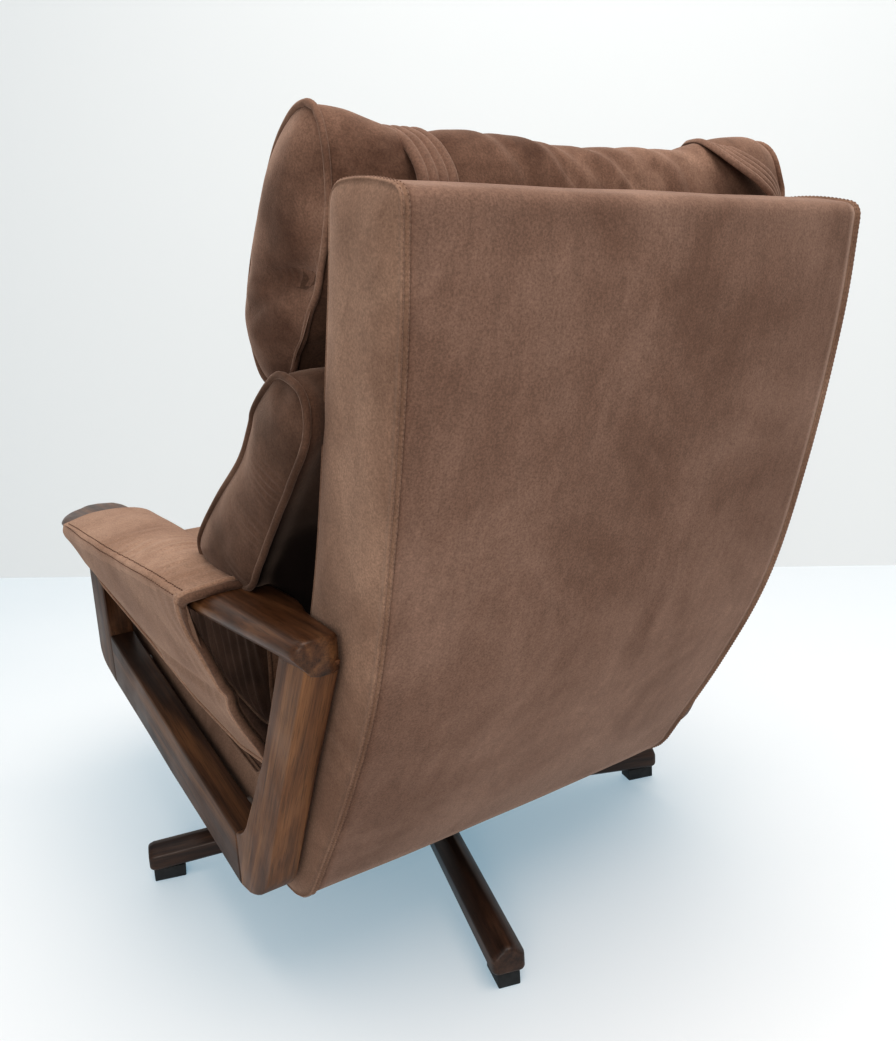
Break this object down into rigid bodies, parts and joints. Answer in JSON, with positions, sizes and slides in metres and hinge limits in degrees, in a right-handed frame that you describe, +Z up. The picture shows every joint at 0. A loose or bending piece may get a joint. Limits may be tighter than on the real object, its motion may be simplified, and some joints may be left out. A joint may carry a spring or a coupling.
{
  "type": "recliner armchair",
  "caption": "Swivelling, tilting high-back armchair: velvet shell and cushions, open wooden side frames with padded arms, cross-shaped wooden base on glides.",
  "frame": {"origin": "middle of the whole chair's footprint box, on the floor; the swivel axis is 25.5 mm in front of it, at y = -0.0255", "axes": "+Z up, the sitter faces -Y, +X is the sitter's left"},
  "size_m": [0.846, 1.079, 1.015],
  "materials": {
    "velvet": "brown cotton velvet with a brushed nap",
    "velvet_light": "the same velvet, worn lighter on the arm sleeves and seat",
    "walnut": "oiled walnut, satin",
    "dark_wood": "dark stained wood, satin",
    "plywood": "moulded plywood, unfinished",
    "glide_rubber": "black moulded glide",
    "stop_rubber": "black rubber",
    "steel": "plain steel",
    "black_steel": "black paint, satin",
    "knob_plastic": "black moulded plastic"
  },
  "bodies": {
    "base": {"base_leg_1": "dark_wood", "base_leg_2": "dark_wood", "base_leg_3": "dark_wood", "base_leg_4": "dark_wood", "glide_1": "glide_rubber", "glide_2": "glide_rubber", "glide_3": "glide_rubber", "glide_4": "glide_rubber", "leg_bolt_1": "steel", "leg_bolt_2": "steel", "leg_bolt_3": "steel", "leg_bolt_4": "steel", "hub_plate": "black_steel", "base_hub": "black_steel", "swivel_bearing": "steel"},
    "swivel_unit": {"swivel_spindle": "steel", "tilt_housing_floor": "black_steel", "tilt_cheek_left": "black_steel", "tilt_cheek_right": "black_steel", "tilt_front_web": "black_steel", "front_stop_ledge": "black_steel", "tilt_axle": "steel", "tilt_spring": "steel", "front_stop": "stop_rubber", "rear_stop": "stop_rubber", "tension_rod": "steel"},
    "tension_control": {"tension_knob": "knob_plastic"},
    "seat": {"seat_plate": "black_steel", "seat_lug_left": "black_steel", "seat_lug_right": "black_steel", "back_cover": "velvet", "shell_core": "plywood", "inner_cover": "velvet", "side_band_left": "velvet", "side_band_right": "velvet", "armrest_left": "walnut", "armrest_right": "walnut", "front_post_left": "walnut", "front_post_right": "walnut", "bottom_rail_left": "walnut", "bottom_rail_right": "walnut", "rear_post_left": "walnut", "rear_post_right": "walnut", "frame_spacer_1_left": "steel", "frame_spacer_1_right": "steel", "frame_spacer_2_left": "steel", "frame_spacer_2_right": "steel", "frame_spacer_3_left": "steel", "frame_spacer_3_right": "steel", "arm_pad_left": "velvet_light", "arm_pad_right": "velvet_light", "headrest_strap_left": "velvet", "headrest_strap_right": "velvet", "seat_cushion": "velvet_light", "lumbar_cushion": "velvet", "headrest_cushion": "velvet"}
  },
  "joints": [
    {"name": "swivel", "type": "hinge", "parent": "base", "child": "swivel_unit", "pos_m": [0, -0.0255, 0.09], "axis": [0, 0, 1], "continuous": true},
    {"name": "recline", "type": "hinge", "parent": "swivel_unit", "child": "seat", "pos_m": [0, 0.0295, 0.116], "axis": [-1, 0, 0], "range_deg": [0, 10], "stiffness_Nm_per_rad": 400, "springref_deg": -34.38},
    {"name": "tension_turn", "type": "hinge", "parent": "swivel_unit", "child": "tension_control", "pos_m": [0, -0.1795, 0.132], "axis": [0, -1, 0], "range_deg": [-720, 720]}
  ]
}
